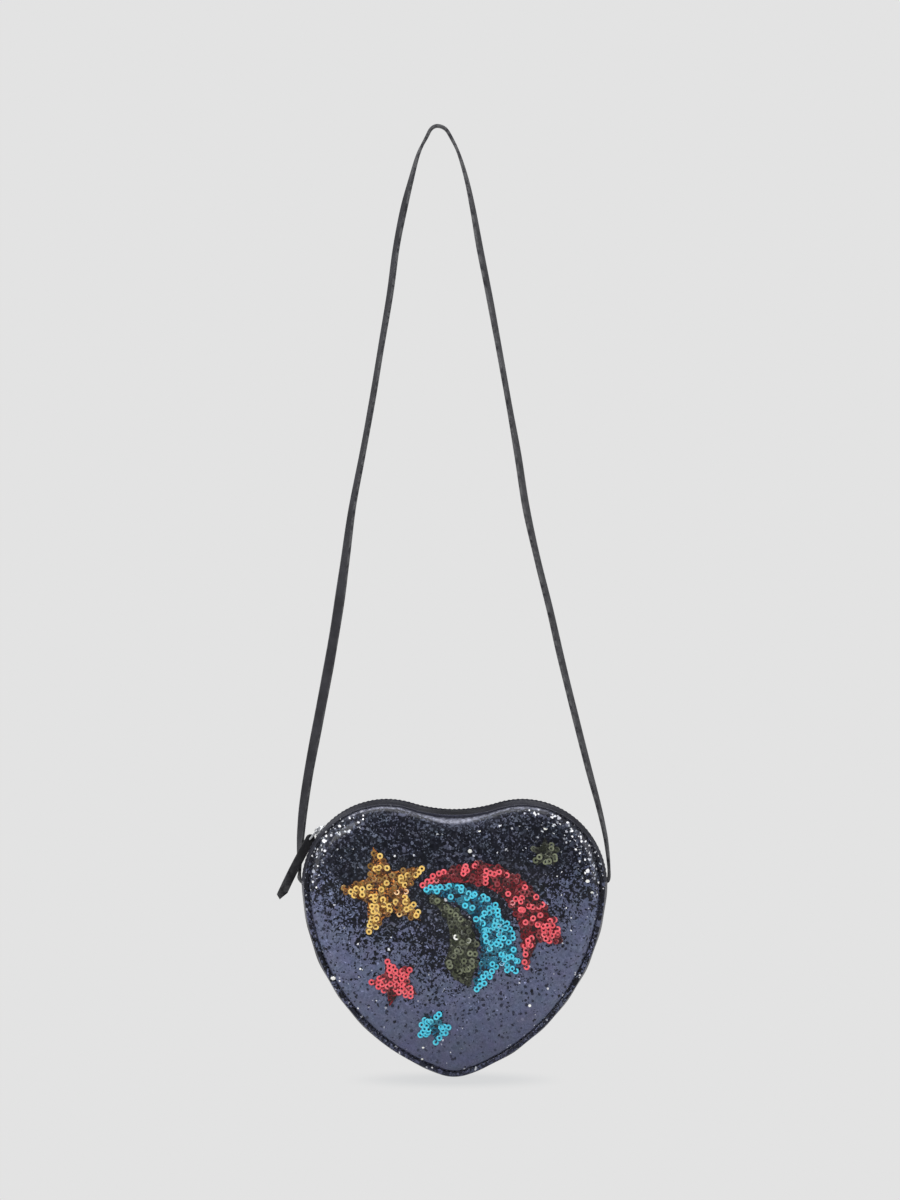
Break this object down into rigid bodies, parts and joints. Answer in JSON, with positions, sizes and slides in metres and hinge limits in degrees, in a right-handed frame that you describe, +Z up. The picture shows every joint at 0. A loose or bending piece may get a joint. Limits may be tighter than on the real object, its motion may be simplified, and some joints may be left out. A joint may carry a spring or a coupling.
{
  "type": "heart shaped purse",
  "caption": "Child's heart-shaped crossbody purse with a domed glitter front, sequin shooting star, zip over the lobes and a thin flat shoulder strap.",
  "frame": {"origin": "the underside of the strap's top bend, where a hook or peg carries the purse", "axes": "+Z up along the hanging purse, the glitter front faces -Y, +X to the right as seen from the front"},
  "size_m": [0.1971, 0.059, 0.5614],
  "materials": {
    "strap_leathercloth": "satin, fine grain",
    "glitter_leathercloth": "glossy, navy glitter",
    "navy_leathercloth": "satin, fine grain",
    "wadding": "matte",
    "card": "matte",
    "greyboard": "matte",
    "lining_cloth": "matte, plain weave",
    "zip_tape_cloth": "matte, ribbed weave",
    "zip_teeth_plastic": "satin",
    "nickel_plate": "polished",
    "tab_leathercloth": "satin",
    "gold_sequins": "glossy",
    "red_sequins": "glossy",
    "blue_sequins": "glossy",
    "olive_sequins": "glossy"
  },
  "bodies": {
    "strap": {"shoulder_strap": "strap_leathercloth"},
    "bag": {"front_panel": "glitter_leathercloth", "front_padding": "wadding", "front_board": "card", "front_lining": "lining_cloth", "back_panel": "navy_leathercloth", "back_padding": "wadding", "back_board": "greyboard", "back_lining": "lining_cloth", "bottom_gusset": "navy_leathercloth", "gusset_lining": "lining_cloth", "zip_facing_front": "navy_leathercloth", "zip_facing_back": "navy_leathercloth", "zip_tape_front": "zip_tape_cloth", "zip_tape_back": "zip_tape_cloth", "zip_teeth_front": "zip_teeth_plastic", "zip_teeth_back": "zip_teeth_plastic", "zip_top_stops": "nickel_plate", "zip_bottom_stop": "nickel_plate", "strap_tail_left": "strap_leathercloth", "strap_tail_right": "strap_leathercloth", "gold_star": "gold_sequins", "red_star": "red_sequins", "blue_star": "blue_sequins", "olive_star": "olive_sequins", "red_tail": "red_sequins", "blue_tail": "blue_sequins", "olive_tail": "olive_sequins"},
    "slider": {"slider": "nickel_plate"},
    "puller": {"puller_loop": "nickel_plate"},
    "pull_tab": {"pull_tab": "tab_leathercloth"}
  },
  "joints": [
    {"name": "bag_swing", "type": "hinge", "parent": "strap", "child": "bag", "pos_m": [0.01, 0, -0.445], "axis": [1, 0, 0], "range_deg": [0, 45]},
    {"name": "slider_travel", "type": "hinge", "parent": "bag", "child": "slider", "pos_m": [-0.03, 0, -0.44643], "axis": [0, 1, 0], "range_deg": [0, 63], "deforming": ["zip_teeth_front", "zip_teeth_back"]},
    {"name": "puller_flip", "type": "hinge", "parent": "slider", "child": "puller", "pos_m": [-0.07121, 0, -0.41502], "axis": [0, 1, 0], "range_deg": [0, 95]},
    {"name": "tab_swing", "type": "hinge", "parent": "puller", "child": "pull_tab", "pos_m": [-0.07499, 0, -0.41968], "axis": [0, 1, 0], "range_deg": [0, 50]}
  ]
}
